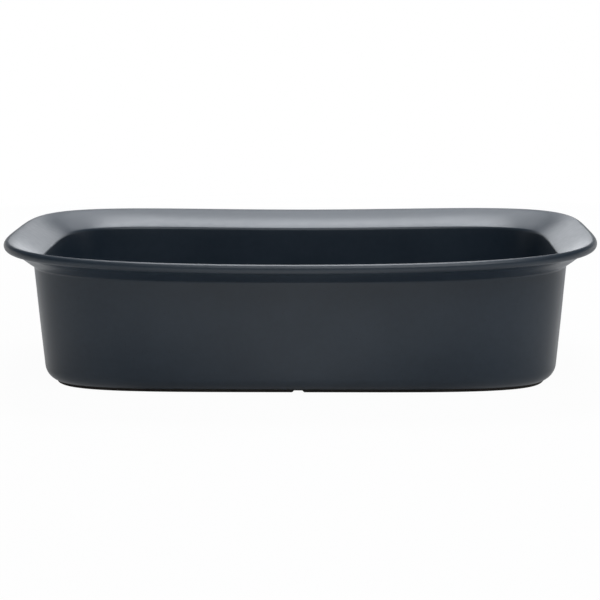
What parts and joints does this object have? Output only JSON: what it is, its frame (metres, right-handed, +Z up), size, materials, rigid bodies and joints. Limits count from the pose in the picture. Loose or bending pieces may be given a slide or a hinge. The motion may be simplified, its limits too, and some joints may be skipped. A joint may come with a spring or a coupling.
{
  "type": "roasting dish",
  "caption": "Rectangular stoneware roasting dish with straight tapered walls, a wide upswept rim to lift it by and a low foot ring, in a dark slate-blue satin glaze.",
  "frame": {"origin": "on the table, under the middle of the dish", "axes": "+X along the length, to the right in the picture; the long side that the picture shows faces -Y; +Z up"},
  "size_m": [0.38, 0.252, 0.0903],
  "materials": {
    "clay": "matte",
    "glaze": "satin"
  },
  "bodies": {
    "root": {"stoneware_body": "clay", "glaze_coat": "glaze", "underside_glaze": "glaze"}
  },
  "joints": []
}
